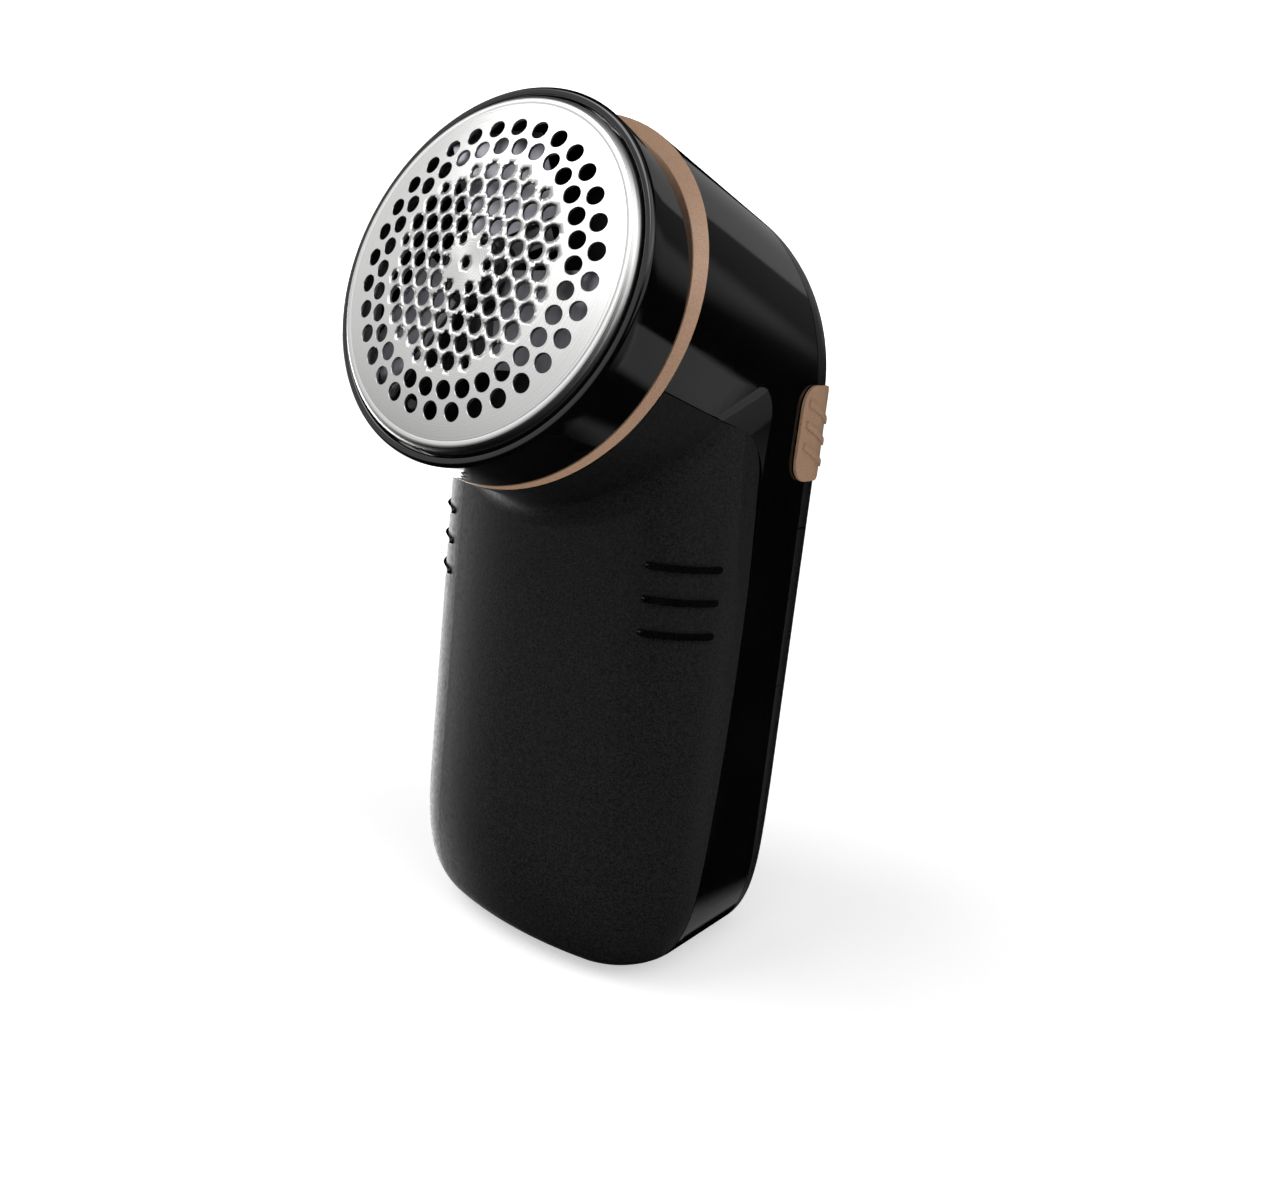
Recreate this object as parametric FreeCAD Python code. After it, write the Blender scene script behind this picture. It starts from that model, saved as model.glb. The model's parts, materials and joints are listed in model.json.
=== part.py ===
# Fabric shaver: a battery lint remover with a round cutting head on an upright handle.
# Frame: -Y is the front, where the shaving face is, +X is the side with the thumb slider,
# and +Z runs up the handle. The origin is on the flat foot, under the middle of the handle.
# The head has its own axis, tilted up from the front; head shapes are drawn in head
# coordinates (x across, y up the face, z outward) and then placed.
import FreeCAD
import Part
import math
import os

Vec = FreeCAD.Vector
os.makedirs("parts", exist_ok=True)

# ---------------------------------------------------------------- driving sizes, mm
HEAD_TILT = 18.5            # degrees the shaving face looks up from level
HEAD_Y = -40.8              # centre of the outer hole ring, front to back
HEAD_Z = 111.0              # and its height above the foot

BARREL_R = 28.2             # gloss barrel behind the trim ring
BARREL_TILT = 15.3          # its axis leans a little less than the head's
BARREL_RISE = 1.1           # and starts this far up the head's face
BARREL_FRONT = -13.2        # along the head axis, counted from the hole ring's plane

HALF_WIDTH = 28.2           # handle
MID_Y = -3.0                # front to back middle of the rounded end
FRONT_DEPTH = 21.5          # from MID_Y forward
BACK_DEPTH = 20.0           # from MID_Y backward, at BACK_TOP_Z
BACK_TOP_Z = 95.0
BACK_SLOPE = 1.6            # degrees: the back leans out towards the foot
FRONT_CORNER_R = 15.1
FRONT_BULGE_R = 61.0
BACK_CORNER_R = 9.0
CURVE_TOP = 29.8            # where the rounded end of the handle begins
FOOT_CUT = 0.972            # share of the rounded end kept above the foot
CREASE_R = 4.2              # soft valley where the barrel meets the handle
VALLEY_GAIN = 0.7           # and how much it grows with the depth below the skin
COLUMN_TOP = 150.0

BODY_WALL = 2.0
COVER_WALL = 1.8
CONTAINER_WALL = 2.4
DRAFT_START = 68.0          # above this height the container's sides lean in a little
SIDE_DRAFT = 1.1            # degrees

SPLIT_Y = -5.0              # rearmost point of the container's back edge, which is an arc
SPLIT_ARC_Z = 58.0
SPLIT_ARC_R = 380.0
SPLIT_Z = 91.1              # where its sloping top edge would meet SPLIT_Y
SPLIT_CORNER_R = 8.0
CREST_Y = -4.8              # outer corner of the sloping band around the container
CREST_Z = 98.8
CREST_TOP_SLOPE = 13.0      # degrees down towards the back
CREST_BACK_SLOPE = 3.0      # degrees forward towards the foot
CREST_CORNER_R = 5.0
BAND_HEIGHT = 6.9           # the band falls away over this height,
BAND_DEPTH = 2.4            # by this much,
BAND_REACH = 8.0            # and over this length from back to front
PART_LINE_Y = 7.25          # body to rear cover and door, at BACK_TOP_Z
DOOR_SEAM_Z = 76.9
SEAM = 0.25                 # gap at a seam

COLLAR_R = 27.0
COLLAR_FRONT = -1.9
COLLAR_BACK = -11.65
TRIM_FRONT = -11.8
SPIGOT_R = 25.9
SPIGOT_FRONT = -6.3
SPIGOT_BORE = 23.4
CHAMBER_R = 22.0
CHAMBER_TUBE_R = 23.2
CHAMBER_BACK = -22.0
BULKHEAD = 2.0

MESH_RING_R = 20.0          # outer ring of holes; the hole pattern scales on it
MESH_DOME = 1.808           # height of the dome above that ring
MESH_SHEET = 0.4
MESH_EDGE_R = 24.4
MESH_WALL_R = 25.3
MESH_FLANGE_R = 26.0
MESH_FLANGE_BACK = -6.25
HOLE_RING = 1.27            # hole radii
HOLE_MEDIUM = 1.12
HOLE_SMALL = 0.70
HEX_PITCH = 3.09

SHAFT_R = 1.0
MOTOR_R = 10.5
MOTOR_LENGTH = 25.0

CELL_R = 7.25
CELL_X = 7.75
CELL_Y = 6.4
CELL_BODY = 49.3
CELL_NUB = 1.2
TRAY_BACK = -1.9
TRAY_LOW = 9.4
TRAY_HIGH = 66.8
TRAY_WALL = 1.2
CONTACT = 0.3               # thickness of the contact plates

SLIDER_LOW = 84.6
SLIDER_HIGH = 99.7
SLIDER_FRONT = 3.0
SLIDER_REAR = 13.8
SLIDER_GAP = 0.15           # between the body's skin and the slider
SLIDER_RISE = 0.6           # how far the slider's face stands off that skin
SLIDER_TRAVEL = 4.0
STEM_LOW = 89.0             # the stem goes through a slot in the body to the switch
STEM_HIGH = 93.6
STEM_FRONT = 3.6
STEM_REAR = 6.3

HEAD = FreeCAD.Placement(
    Vec(0, HEAD_Y, HEAD_Z), FreeCAD.Rotation(Vec(1, 0, 0), 90 - HEAD_TILT)
)
TRIM_CENTRE = HEAD.multVec(Vec(0, BARREL_RISE, BARREL_FRONT))
BARREL = FreeCAD.Placement(TRIM_CENTRE, FreeCAD.Rotation(Vec(1, 0, 0), 90 - BARREL_TILT))


# ---------------------------------------------------------------- helpers
def to_head(shape):
    placed = shape.copy()
    placed.Placement = HEAD.multiply(placed.Placement)
    return placed


def disc(radius, low, high, x=0.0, y=0.0):
    return Part.makeCylinder(radius, high - low, Vec(x, y, low))


def tube(outer, inner, low, high):
    return disc(outer, low, high).cut(disc(inner, low - 1, high + 1))


def block(x0, x1, y0, y1, z0, z1):
    return Part.makeBox(x1 - x0, y1 - y0, z1 - z0, Vec(x0, y0, z0))


def spin(points):
    """Solid of revolution about the z axis from (radius, height) points."""
    ring = [Vec(r, 0, z) for r, z in points]
    face = Part.Face(Part.makePolygon(ring + [ring[0]]))
    return face.revolve(Vec(0, 0, 0), Vec(0, 0, 1), 360)


def fused(shapes):
    first = shapes[0]
    if len(shapes) == 1:
        return first
    return first.fuse(shapes[1:]).removeSplitter()


def turned(shape, degrees):
    copy = shape.copy()
    copy.rotate(Vec(0, 0, 0), Vec(0, 0, 1), degrees)
    return copy


def save(name, shape):
    solids = shape.Solids
    result = solids[0] if len(solids) == 1 else Part.makeCompound(solids)
    result.exportStep("parts/%s.step" % name)
    facts = (name, len(solids), result.Volume, result.isValid())
    print("%-18s solids %d  volume %9.1f  valid %s" % facts)


# ---------------------------------------------------------------- outer envelope
def plan_wire(half, front, back, front_r, back_r, z):
    """Section of the handle: bulged front, straight sides, flat back, rounded corners."""
    bulge_y = front + FRONT_BULGE_R
    reach = FRONT_BULGE_R - front_r
    corner_x = half - front_r
    corner_y = bulge_y - math.sqrt(reach ** 2 - corner_x ** 2)
    tilt = math.atan2(corner_y - bulge_y, corner_x)
    join = Vec(FRONT_BULGE_R * math.cos(tilt), bulge_y + FRONT_BULGE_R * math.sin(tilt), z)
    bend_x = corner_x + front_r * math.cos(tilt / 2)
    bend_y = corner_y + front_r * math.sin(tilt / 2)
    bend = Vec(bend_x, bend_y, z)

    def mirror(p):
        return Vec(-p.x, p.y, p.z)

    side_front = Vec(half, corner_y, z)
    edges = [
        Part.Arc(mirror(join), Vec(0, front, z), join).toShape(),
        Part.Arc(join, bend, side_front).toShape(),
    ]
    if back_r > 0:
        reach_y = back_r / math.cos(math.radians(BACK_SLOPE))
        side_back = Vec(half, back - reach_y, z)
        back_side = Vec(half - back_r, back, z)
        centre = Vec(half - back_r, back - reach_y, z)
        right = Part.Ellipse(centre + Vec(0, reach_y, 0), centre + Vec(-back_r, 0, 0), centre)
        centre = mirror(centre)
        left = Part.Ellipse(centre + Vec(0, reach_y, 0), centre + Vec(-back_r, 0, 0), centre)
        edges += [
            Part.makeLine(side_front, side_back),
            Part.ArcOfEllipse(right, -math.pi / 2, 0).toShape(),
            Part.makeLine(back_side, mirror(back_side)),
            Part.ArcOfEllipse(left, 0, math.pi / 2).toShape(),
            Part.makeLine(mirror(side_back), mirror(side_front)),
        ]
    else:
        corner = Vec(half, back, z)
        edges += [
            Part.makeLine(side_front, corner),
            Part.makeLine(corner, mirror(corner)),
            Part.makeLine(mirror(corner), mirror(side_front)),
        ]
    edges.append(Part.Arc(mirror(side_front), mirror(bend), mirror(join)).toShape())
    return Part.Wire(edges)


def rounded_end(inset):
    """Lower end of the handle, from the foot up to CURVE_TOP."""
    steps = 11
    drop = CURVE_TOP / FOOT_CUT - inset
    wires = []
    for k in range(steps + 1):
        t = FOOT_CUT * math.sin(math.pi / 2 * k / steps)
        wide = (1 - t ** 4.1) ** (1 / 4.1)
        deep = (1 - t ** 3.35) ** (1 / 3.35)
        rear = (1 - t ** 11) ** (1 / 11)
        wires.append(plan_wire(
            (HALF_WIDTH - inset) * wide,
            MID_Y - (FRONT_DEPTH - inset) * deep,
            MID_Y + (back_y(CURVE_TOP, inset) - MID_Y) * rear,
            (FRONT_CORNER_R - inset) * min(wide, deep),
            (BACK_CORNER_R - inset) * min(wide, rear),
            CURVE_TOP - t * drop,
        ))
    return Part.makeLoft(wires, True, False)


def back_y(z, inset):
    return MID_Y + BACK_DEPTH - inset + (BACK_TOP_Z - z) * math.tan(math.radians(BACK_SLOPE))


def soft_valley(shape, radius):
    """The same shape with a soft valley where the barrel meets the handle."""
    valley = []
    for edge in shape.Edges:
        box = edge.BoundBox
        curved = "Line" not in edge.Curve.TypeId and "Circle" not in edge.Curve.TypeId
        if curved and box.ZMin > 70 and box.ZMax < 112 and box.YMax < 16:
            valley.append(edge)
    return shape.makeFillet(radius, valley)


def envelope(inset, soft=True):
    """Outer shape of the closed shaver behind the trim ring, moved in by inset."""
    low_back = back_y(CURVE_TOP, inset)
    radius = BARREL_R - inset
    wire = plan_wire(
        HALF_WIDTH - inset, MID_Y - FRONT_DEPTH + inset, low_back + 1,
        FRONT_CORNER_R - inset, 0, CURVE_TOP
    )
    column = Part.Face(wire).extrude(Vec(0, 0, COLUMN_TOP - CURVE_TOP))
    below_axis = block(-60, 60, -250, 0, -250, 60)
    below_axis.Placement = BARREL
    barrel = disc(radius, -70, 20)
    barrel.Placement = BARREL
    behind_trim = to_head(block(-60, 60, -250, 60, -250, BARREL_FRONT))
    whole = column.common(below_axis).fuse(barrel.common(behind_trim)).removeSplitter()
    front_of_back = block(-60, 60, -150, low_back, CURVE_TOP, 200)
    front_of_back.rotate(Vec(0, low_back, CURVE_TOP), Vec(1, 0, 0), BACK_SLOPE)
    upper = whole.common(front_of_back).common(block(-60, 60, -150, 60, CURVE_TOP, 200))
    chain = []
    for edge in upper.Edges:
        ends = [v.Point for v in edge.Vertexes]
        on_back = all(abs(p.y - back_y(p.z, inset)) < 0.01 for p in ends)
        if on_back and edge.BoundBox.ZMax > CURVE_TOP + 1:
            chain.append(edge)
    upper = upper.makeFillet(BACK_CORNER_R - inset, chain)
    whole = upper.fuse(rounded_end(inset)).removeSplitter()
    return soft_valley(whole, CREASE_R + VALLEY_GAIN * inset) if soft else whole


# ---------------------------------------------------------------- splitting shapes
def top_edge_z(y, rise):
    """Height of the container's sloping top edge, moved up by rise."""
    return SPLIT_Z + rise + (SPLIT_Y - y) * math.tan(math.radians(BARREL_TILT))


def cut_under_barrel(back_edges, corner_point, corner):
    """Prism in front of the given back edges and below the top edge that starts at corner_point."""
    far = -90.0
    low = -20.0
    slope = math.tan(math.radians(BARREL_TILT))
    far_top = Vec(-60, far, corner_point.z + (corner_point.y - far) * slope)
    foot = back_edges[0].Vertexes[0].Point
    if foot.z > corner_point.z - 1:
        foot = back_edges[0].Vertexes[-1].Point
    edges = back_edges + [
        Part.makeLine(corner_point, far_top),
        Part.makeLine(far_top, Vec(-60, far, low)),
        Part.makeLine(Vec(-60, far, low), foot),
    ]
    solid = Part.Face(Part.Wire(Part.__sortEdges__(edges))).extrude(Vec(120, 0, 0))
    ridge = []
    for edge in solid.Edges:
        ends = [v.Point for v in edge.Vertexes]
        if all(math.hypot(p.y - corner_point.y, p.z - corner_point.z) < 0.01 for p in ends):
            ridge.append(edge)
    behind_trim = to_head(block(-60, 60, -250, 60, -250, BARREL_FRONT - SEAM))
    return solid.makeFillet(corner, ridge).common(behind_trim)


def container_side(gap):
    """Everything in front of and below the container's bowed edge, moved out by gap."""
    radius = SPLIT_ARC_R + gap
    centre_y = SPLIT_Y - SPLIT_ARC_R

    def edge_y(z):
        return centre_y + math.sqrt(radius ** 2 - (z - SPLIT_ARC_Z) ** 2)

    top = SPLIT_Z
    for _ in range(6):
        top = top_edge_z(edge_y(top), gap)
    corner_point = Vec(-60, edge_y(top), top)
    arc = Part.Arc(
        Vec(-60, edge_y(-20), -20), Vec(-60, edge_y(SPLIT_ARC_Z), SPLIT_ARC_Z), corner_point
    ).toShape()
    return cut_under_barrel([arc], corner_point, SPLIT_CORNER_R + gap)


def straight_side(y, rise):
    """The same with a straight back edge, for the walls inside the body."""
    corner_point = Vec(-60, y, top_edge_z(y, rise))
    line = Part.makeLine(Vec(-60, y, -20), corner_point)
    return cut_under_barrel([line], corner_point, SPLIT_CORNER_R + 1)


def band_outline(x, reach, fall):
    """Crest of the band, moved forward by reach and down by fall, as a closed wire."""
    top_slope = math.tan(math.radians(CREST_TOP_SLOPE))
    back_slope = math.tan(math.radians(CREST_BACK_SLOPE))
    corner_y = CREST_Y - reach
    corner_z = CREST_Z - fall + reach * top_slope
    turn = math.radians(90 - CREST_TOP_SLOPE + CREST_BACK_SLOPE)
    tangent = CREST_CORNER_R * math.tan(turn / 2)
    along_top = Vec(0, -math.cos(math.atan(top_slope)), math.sin(math.atan(top_slope)))
    along_back = Vec(0, -math.sin(math.atan(back_slope)), -math.cos(math.atan(back_slope)))
    corner_point = Vec(x, corner_y, corner_z)
    inward = along_top + along_back
    inward.normalize()
    centre = corner_point + inward * (CREST_CORNER_R / math.cos(turn / 2))
    start = corner_point + along_back * tangent
    end = corner_point + along_top * tangent
    middle = centre - inward * CREST_CORNER_R
    far_top = corner_point + along_top * 70
    foot = corner_point + along_back * 110
    return Part.Wire([
        Part.makeLine(foot, start),
        Part.Arc(start, middle, end).toShape(),
        Part.makeLine(end, far_top),
        Part.makeLine(far_top, Vec(x, far_top.y, foot.z)),
        Part.makeLine(Vec(x, far_top.y, foot.z), foot),
    ])


def band_cut(side):
    """What the sloping band takes off one side of the body."""
    skin_x = HALF_WIDTH + 0.1
    outer = band_outline(side * skin_x, 0, 0)
    inner = band_outline(side * (skin_x - BAND_DEPTH), BAND_REACH, BAND_HEIGHT)
    return Part.makeLoft([inner, outer], True, True)


def part_y(z):
    """The parting of body and rear cover leans like the back."""
    return PART_LINE_Y + (BACK_TOP_Z - z) * math.tan(math.radians(BACK_SLOPE))


def behind_parting(gap, low, high):
    """Everything behind the parting plane, between two heights."""
    solid = block(-60, 60, PART_LINE_Y + gap, 90, -60, 260)
    solid.rotate(Vec(0, PART_LINE_Y + gap, BACK_TOP_Z), Vec(1, 0, 0), BACK_SLOPE)
    return solid.common(block(-60, 60, -60, 60, low, high))


skin = envelope(0)
body_inside = envelope(BODY_WALL, soft=False)
container_inside = envelope(CONTAINER_WALL)
cover_inside = envelope(COVER_WALL)

container_region = container_side(0)
gap_region = container_side(SEAM)
WALL_Y = TRAY_BACK - 0.05   # inner face of the wall behind the container
wall_region = straight_side(WALL_Y, SEAM + BODY_WALL)


# ---------------------------------------------------------------- body shell
def lug_sector(inner, outer, low, high, start, end):
    """Part of a tube between two angles, in degrees."""
    corners = [Vec(inner, 0, low), Vec(outer, 0, low), Vec(outer, 0, high), Vec(inner, 0, high)]
    face = Part.Face(Part.makePolygon(corners + [corners[0]]))
    solid = face.revolve(Vec(0, 0, 0), Vec(0, 0, 1), end - start)
    return turned(solid, start)


LUG_HALF = 7.0              # half the angle a collar lug covers
COLLAR_TURN = 20.0          # the collar's twist
LUG_ANGLES = (90, 210, 330)
THROAT_HALF = 11.0          # lint falls out through the chamber's lower back corner
THROAT_TOP = -14.4
MOTOR_FRONT = CHAMBER_BACK - BULKHEAD
MOTOR_BACK = MOTOR_FRONT - MOTOR_LENGTH
SCREW_X = 17.0              # screws that hold the rear cover
SCREW_Z = 72.5
MOTOR_SCREW_X = 6.0


def body_shell():
    outer = skin.cut(gap_region).cut(band_cut(1)).cut(band_cut(-1))
    shell = outer.cut(body_inside.cut(wall_region))
    tunnel = to_head(block(-12.8, 12.8, -13.8, -3, -46, MOTOR_FRONT))
    tunnel = tunnel.common(container_inside).cut(block(-60, 60, WALL_Y, 60, 0, 200))
    tunnel_inside = to_head(block(-11.5, 11.5, -12.5, 0, -60, MOTOR_FRONT))
    tunnel_inside = tunnel_inside.common(container_inside)
    front_wall = to_head(tube(26.6, CHAMBER_R, BARREL_FRONT - BODY_WALL, BARREL_FRONT))
    front_wall = front_wall.cut(gap_region).common(skin)
    head_parts = [
        disc(CHAMBER_TUBE_R, MOTOR_FRONT, BARREL_FRONT),
        disc(SPIGOT_R, BARREL_FRONT, SPIGOT_FRONT),
    ]
    chamber = fused(head_parts)
    chamber_bore = disc(CHAMBER_R, CHAMBER_BACK, 0)
    bore = fused([chamber_bore, disc(SPIGOT_BORE, BARREL_FRONT + 1, 0), disc(3.2, -30, 0)])
    for side in (-1, 1):
        bore = bore.fuse(disc(1.4, -30, -10, MOTOR_SCREW_X * side))
    throat = block(-THROAT_HALF, THROAT_HALF, -30, THROAT_TOP, MOTOR_FRONT - 1, BARREL_FRONT - 1.8)
    bore = bore.fuse(throat)
    for angle in LUG_ANGLES:
        start = angle - LUG_HALF - 1.5
        end = angle + LUG_HALF + COLLAR_TURN + 1.5
        pocket = lug_sector(25.0, 27, COLLAR_BACK + 0.7, 0, start, end)
        bore = bore.fuse(pocket)
    shell = shell.fuse([tunnel, front_wall, to_head(chamber)])
    shell = shell.cut(tunnel_inside).cut(to_head(bore))
    boss_front = WALL_Y - 1.5
    hole_front = part_y(SCREW_Z) - 10.4
    for side in (-1, 1):
        boss = Part.makeCylinder(
            3.2, 20, Vec(side * SCREW_X, boss_front, SCREW_Z), Vec(0, 1, 0)
        )
        hole = Part.makeCylinder(
            1.1, 20, Vec(side * SCREW_X, hole_front, SCREW_Z), Vec(0, 1, 0)
        )
        shell = shell.fuse(boss).cut(hole)
    slot = block(
        22, 32, STEM_FRONT - 0.3, STEM_REAR + 0.3,
        STEM_LOW - 0.4, STEM_HIGH + SLIDER_TRAVEL + 0.4
    )
    shell = shell.cut(behind_parting(0, -10, 200)).cut(slot)
    return shell


save("body_shell", body_shell())


# ---------------------------------------------------------------- lint container
GRIP_Z = (72.2, 67.1, 61.9)
GRIP_FRONT = -21.3
GRIP_REAR = -12.6
GRIP_HALF = 0.55
GRIP_RISE = 0.5


def side_draft(side):
    """What the draft takes off one side of the container."""
    start = side * HALF_WIDTH
    lean = 40 * math.tan(math.radians(SIDE_DRAFT))
    outline = [
        Vec(start, -60, DRAFT_START),
        Vec(start - side * lean, -60, DRAFT_START + 40),
        Vec(start + side * 5, -60, DRAFT_START + 40),
        Vec(start + side * 5, -60, DRAFT_START),
    ]
    return Part.Face(Part.makePolygon(outline + [outline[0]])).extrude(Vec(0, 120, 0))


def lint_container():
    shell = skin.cut(container_inside).common(container_region)
    shell = shell.cut(side_draft(1)).cut(side_draft(-1))
    raised = envelope(-GRIP_RISE).cut(container_inside)
    for z in GRIP_Z:
        bar = block(-60, 60, GRIP_FRONT, GRIP_REAR, z - GRIP_HALF, z + GRIP_HALF)
        ends = [e for e in bar.Edges if abs(e.BoundBox.XLength - 120) < 0.01]
        bar = bar.makeFillet(GRIP_HALF * 0.98, ends)
        bar = bar.cut(block(-19.8, 19.8, -60, 60, 0, 200))
        shell = shell.fuse(raised.common(bar))
    return shell


save("lint_container", lint_container())


# ---------------------------------------------------------------- rear cover and door
TONGUE = 1.6                # thickness of the screwed tongue under the door
TONGUE_LOW = 68.6


def rear_skin(low, high):
    return skin.cut(cover_inside).common(behind_parting(SEAM, low, high))


def rear_cover():
    shell = rear_skin(DOOR_SEAM_Z, 200)
    bar_top = DOOR_SEAM_Z + 1.5
    tongue = behind_parting(0, TONGUE_LOW, bar_top).cut(behind_parting(TONGUE, 0, 200))
    link = behind_parting(0, DOOR_SEAM_Z, bar_top).common(skin)
    shell = shell.fuse([part.common(block(-21, 21, 0, 60, 0, 200)) for part in (tongue, link)])
    for side in (-1, 1):
        shell = shell.cut(Part.makeCylinder(1.6, 40, Vec(side * SCREW_X, 0, SCREW_Z), Vec(0, 1, 0)))
    return shell


def battery_door():
    shell = rear_skin(-10, DOOR_SEAM_Z - SEAM)
    for k in range(4):
        z = 66.0 + 2.2 * k
        ridge = block(-9, 9, back_y(z, 1.0), back_y(z, -0.5), z - 0.4, z + 0.4)
        shell = shell.fuse(ridge)
    return shell


save("rear_cover", rear_cover())
save("battery_door", battery_door())


# ---------------------------------------------------------------- head
def trim_ring():
    front = Part.Wire(Part.makeCircle(COLLAR_R + 0.05, Vec(0, 0, TRIM_FRONT), Vec(0, 0, 1)))
    rear = Part.Wire(Part.makeCircle(BARREL_R, Vec(0, BARREL_RISE, BARREL_FRONT), Vec(0, 0, 1)))
    flare = Part.makeLoft([front, rear], True, False)
    return to_head(flare.cut(disc(SPIGOT_R + 0.02, -20, 0)))


def retaining_collar():
    ring = spin([
        (25.6, COLLAR_FRONT), (COLLAR_R, COLLAR_FRONT), (COLLAR_R, COLLAR_BACK),
        (26.3, COLLAR_BACK), (26.3, -5.6), (25.6, -5.0),
    ])
    rim = [e for e in ring.Edges if abs(e.BoundBox.ZMax - COLLAR_FRONT) < 0.01
           and abs(e.BoundBox.XMax - COLLAR_R) < 0.01 and e.BoundBox.ZLength < 0.01]
    ring = ring.makeFillet(0.65, rim)
    for angle in LUG_ANGLES:
        lug = lug_sector(
            25.3, 26.5, COLLAR_BACK + 1.0, COLLAR_BACK + 2.2,
            angle - LUG_HALF, angle + LUG_HALF
        )
        ring = ring.fuse(lug)
    return to_head(ring)


def dome_height(radius, offset):
    ball = MESH_RING_R ** 2 / (2 * MESH_DOME)
    return MESH_DOME - ball + math.sqrt((ball - offset) ** 2 - radius ** 2)


def hole_pattern():
    """Centre x, centre y and radius of every hole in the shaving mesh."""
    holes = [(0, 0, HOLE_SMALL)]
    for k in range(32):
        for ring, shift in ((1.0, 0), (0.855, 0.5)):
            angle = 2 * math.pi * (k + shift) / 32
            reach = MESH_RING_R * ring
            holes.append((reach * math.sin(angle), reach * math.cos(angle), HOLE_RING))
    for k in range(6):
        angle = math.pi / 3 * k
        reach = 1.234 * HEX_PITCH
        holes.append((reach * math.cos(angle), reach * math.sin(angle), HOLE_SMALL))
    rows = {
        0: (2, 3, 4),
        1: (1.5, 2.5, 3.5),
        2: (0, 1, 2, 3, 4),
        3: (0.5, 1.5, 2.5, 3.5),
        4: (0, 1, 2),
        5: (0.5,),
    }
    small = {1: 4.5, 4: 3, 5: 1.5}
    for row, columns in rows.items():
        for up in (-1, 1) if row else (1,):
            y = up * row * HEX_PITCH * math.sqrt(0.75)
            for column in columns:
                for side in (-1, 1) if column else (1,):
                    holes.append((side * column * HEX_PITCH, y, HOLE_MEDIUM))
            if row in small:
                for side in (-1, 1):
                    holes.append((0.982 * side * small[row] * HEX_PITCH, 0.982 * y, HOLE_SMALL))
    return holes


def shaving_mesh():
    shoulder = dome_height(MESH_EDGE_R, 0)
    low = shoulder - 0.95
    outer = [
        Part.Arc(
            Vec(0, 0, MESH_DOME),
            Vec(MESH_EDGE_R / 2, 0, dome_height(MESH_EDGE_R / 2, 0)),
            Vec(MESH_EDGE_R, 0, shoulder),
        ).toShape(),
        Part.Arc(
            Vec(MESH_EDGE_R, 0, shoulder),
            Vec(MESH_EDGE_R + 0.68, 0, shoulder - 0.3),
            Vec(MESH_WALL_R, 0, low),
        ).toShape(),
    ]
    inner_wall = MESH_WALL_R - MESH_SHEET
    inner_edge = dome_height(MESH_EDGE_R, MESH_SHEET)
    corners = [
        Vec(MESH_WALL_R, 0, low),
        Vec(MESH_WALL_R, 0, MESH_FLANGE_BACK + MESH_SHEET),
        Vec(MESH_FLANGE_R, 0, MESH_FLANGE_BACK + MESH_SHEET),
        Vec(MESH_FLANGE_R, 0, MESH_FLANGE_BACK),
        Vec(inner_wall, 0, MESH_FLANGE_BACK),
        Vec(inner_wall, 0, low),
        Vec(MESH_EDGE_R, 0, inner_edge),
    ]
    lines = [Part.makeLine(a, b) for a, b in zip(corners, corners[1:])]
    top = Vec(0, 0, MESH_DOME - MESH_SHEET)
    inner = [
        Part.Arc(
            Vec(MESH_EDGE_R, 0, inner_edge),
            Vec(MESH_EDGE_R / 2, 0, dome_height(MESH_EDGE_R / 2, MESH_SHEET)),
            top,
        ).toShape(),
        Part.makeLine(top, Vec(0, 0, MESH_DOME)),
    ]
    profile = Part.Face(Part.Wire(outer + lines + inner))
    cup = profile.revolve(Vec(0, 0, 0), Vec(0, 0, 1), 360)
    drills = [disc(r, -4, 4, x, y) for x, y, r in hole_pattern()]
    return to_head(cup.cut(Part.makeCompound(drills)))


save("trim_ring", trim_ring())
save("retaining_collar", retaining_collar())
save("shaving_mesh", shaving_mesh())


# ---------------------------------------------------------------- rotor
BLADE_ANGLES = (5, 125, 245)
BLADE_REACH = 21.3
BLADE_SHEET = 0.5
BLADE_SWEEP = 13.0          # how far a blade trails behind its cutting edge
BLADE_DROP = 14.0           # degrees it falls away from the mesh
BLADE_TOP = -0.75           # height of the cutting edge
HUB_R = 5.2
HUB_TOP = 0.6
HUB_BACK = -12.0
FAN_R = 21.0


def blade():
    sheet = block(3.5, 24, -BLADE_SWEEP, 0, -BLADE_SHEET, 0)
    sheet.rotate(Vec(0, 0, 0), Vec(1, 0, 0), BLADE_DROP)
    sheet.translate(Vec(0, 0, BLADE_TOP))
    sheet = sheet.common(disc(BLADE_REACH, -10, 5)).cut(disc(HUB_R - 0.8, -10, 5))
    return sheet


def blade_carrier():
    hub = disc(HUB_R, HUB_BACK, HUB_TOP)
    crown = [e for e in hub.Edges if abs(e.BoundBox.ZMin - HUB_TOP) < 0.01]
    hub = hub.makeFillet(1.2, crown)
    arms = []
    for angle in BLADE_ANGLES:
        wedge = block(0, 20.3, -BLADE_SWEEP + 2, -1.2, -4.0, 0)
        wedge.rotate(Vec(0, 0, 0), Vec(1, 0, 0), BLADE_DROP)
        wedge.translate(Vec(0, 0, BLADE_TOP - BLADE_SHEET))
        arms.append(turned(wedge.common(disc(20.3, -20, -BLADE_SHEET)), angle))
    carrier = hub.fuse(arms)
    for angle in BLADE_ANGLES:
        carrier = carrier.cut(turned(blade(), angle))
    socket = disc(2.6, HUB_BACK - 1, -6)
    return carrier.cut(socket)


def fan():
    disc_plate = tube(FAN_R, 5.6, -14.0, -12.6)
    hub = tube(5.6, 2.65, -14.0, HUB_BACK - 0.05)
    parts = [hub, disc_plate]
    for k in range(8):
        vane = block(6.5, FAN_R - 0.4, -0.5, 0.5, -18.5, -14.0)
        parts.append(turned(vane, 45 * k))
    return fused(parts)


def drive_coupling():
    post = disc(2.5, -20.5, -6.4)
    flange = disc(4.6, -15.4, -14.05)
    return post.fuse(flange).cut(disc(SHAFT_R, -30, -9))


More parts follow.
